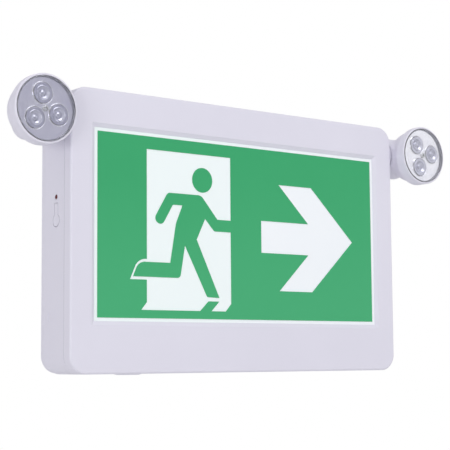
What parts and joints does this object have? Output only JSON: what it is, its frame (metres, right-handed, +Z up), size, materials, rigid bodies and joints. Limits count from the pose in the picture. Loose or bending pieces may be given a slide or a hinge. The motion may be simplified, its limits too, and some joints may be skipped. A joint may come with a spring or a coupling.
{
  "type": "emergency exit light",
  "caption": "Wall-fixed emergency exit light: shallow white box with a lit running-figure sign and arrow, and a round swivelling spot lamp at each upper side.",
  "frame": {"origin": "centre of the flat back face, which lies on the wall; the cable entry is centred on it", "axes": "+X to the right of a person who faces the sign, +Z up, -Y out of the wall towards that person"},
  "size_m": [0.409, 0.054, 0.2034],
  "materials": {
    "white_plastic": "satin, moulded",
    "green_film": "smooth printed film",
    "diffuser_white": "smooth, milky",
    "tray_white": "matt",
    "board_white": "white solder mask",
    "led_chip": "gel-filled chips",
    "board_green": "green solder mask",
    "core_steel": "varnished laminations",
    "block_grey": "matt",
    "can_dark": "sleeved",
    "cell_sleeve": "shrink sleeve",
    "clip_steel": "zinc plated",
    "inner_plastic": "satin",
    "switch_black": "matt",
    "indicator_red": "tinted, glossy",
    "reflector_bright": "metallised",
    "optic_clear": "clear, polished",
    "lens_clear": "clear, polished"
  },
  "bodies": {
    "case": {"back_housing": "white_plastic", "front_cover": "white_plastic", "hole_plug": "white_plastic", "left_swivel_collar": "white_plastic", "right_swivel_collar": "white_plastic", "sign_film": "green_film", "diffuser_panel": "diffuser_white", "light_tray": "tray_white", "led_strip_top": "board_white", "led_strip_bottom": "board_white", "sign_leds": "led_chip", "main_board": "board_green", "side_board": "board_green", "transformer": "core_steel", "terminal_block": "block_grey", "capacitors": "can_dark", "battery_pack": "cell_sleeve", "battery_clip": "clip_steel", "tray_screws": "clip_steel", "board_screws": "clip_steel", "clip_screws": "clip_steel", "left_swivel_washer": "clip_steel", "right_swivel_washer": "clip_steel", "test_switch": "switch_black", "indicator_led": "indicator_red"},
    "left_neck": {"left_neck": "white_plastic", "left_swivel_nut": "inner_plastic"},
    "left_lamp": {"left_lamp_cup": "white_plastic", "left_cup_clip": "inner_plastic", "left_led_board": "board_white", "left_lamp_leds": "led_chip", "left_reflector": "reflector_bright", "left_optics": "optic_clear", "left_centre_screw": "clip_steel", "left_lens": "lens_clear"},
    "right_neck": {"right_neck": "white_plastic", "right_swivel_nut": "inner_plastic"},
    "right_lamp": {"right_lamp_cup": "white_plastic", "right_cup_clip": "inner_plastic", "right_led_board": "board_white", "right_lamp_leds": "led_chip", "right_reflector": "reflector_bright", "right_optics": "optic_clear", "right_centre_screw": "clip_steel", "right_lens": "lens_clear"},
    "button": {"test_button": "white_plastic", "switch_plunger": "white_plastic"}
  },
  "joints": [
    {"name": "left_swivel", "type": "hinge", "parent": "case", "child": "left_neck", "pos_m": [-0.1805, -0.021, 0.0784], "axis": [1, 0, 0], "range_deg": [-80, 80]},
    {"name": "left_turn", "type": "hinge", "parent": "left_neck", "child": "left_lamp", "pos_m": [-0.1805, -0.0457, 0.0784], "axis": [0, -0.9945, -0.1045], "range_deg": [-165, 165]},
    {"name": "right_swivel", "type": "hinge", "parent": "case", "child": "right_neck", "pos_m": [0.1805, -0.021, 0.0784], "axis": [1, 0, 0], "range_deg": [-80, 80]},
    {"name": "right_turn", "type": "hinge", "parent": "right_neck", "child": "right_lamp", "pos_m": [0.1805, -0.0457, 0.0784], "axis": [0, -0.9945, -0.1045], "range_deg": [-165, 165]},
    {"name": "test_press", "type": "hinge", "parent": "case", "child": "button", "pos_m": [-0.1528, -0.0212, 0.0192], "axis": [0, -1, 0], "range_deg": [0, 5], "stiffness_Nm_per_rad": 0.25}
  ]
}
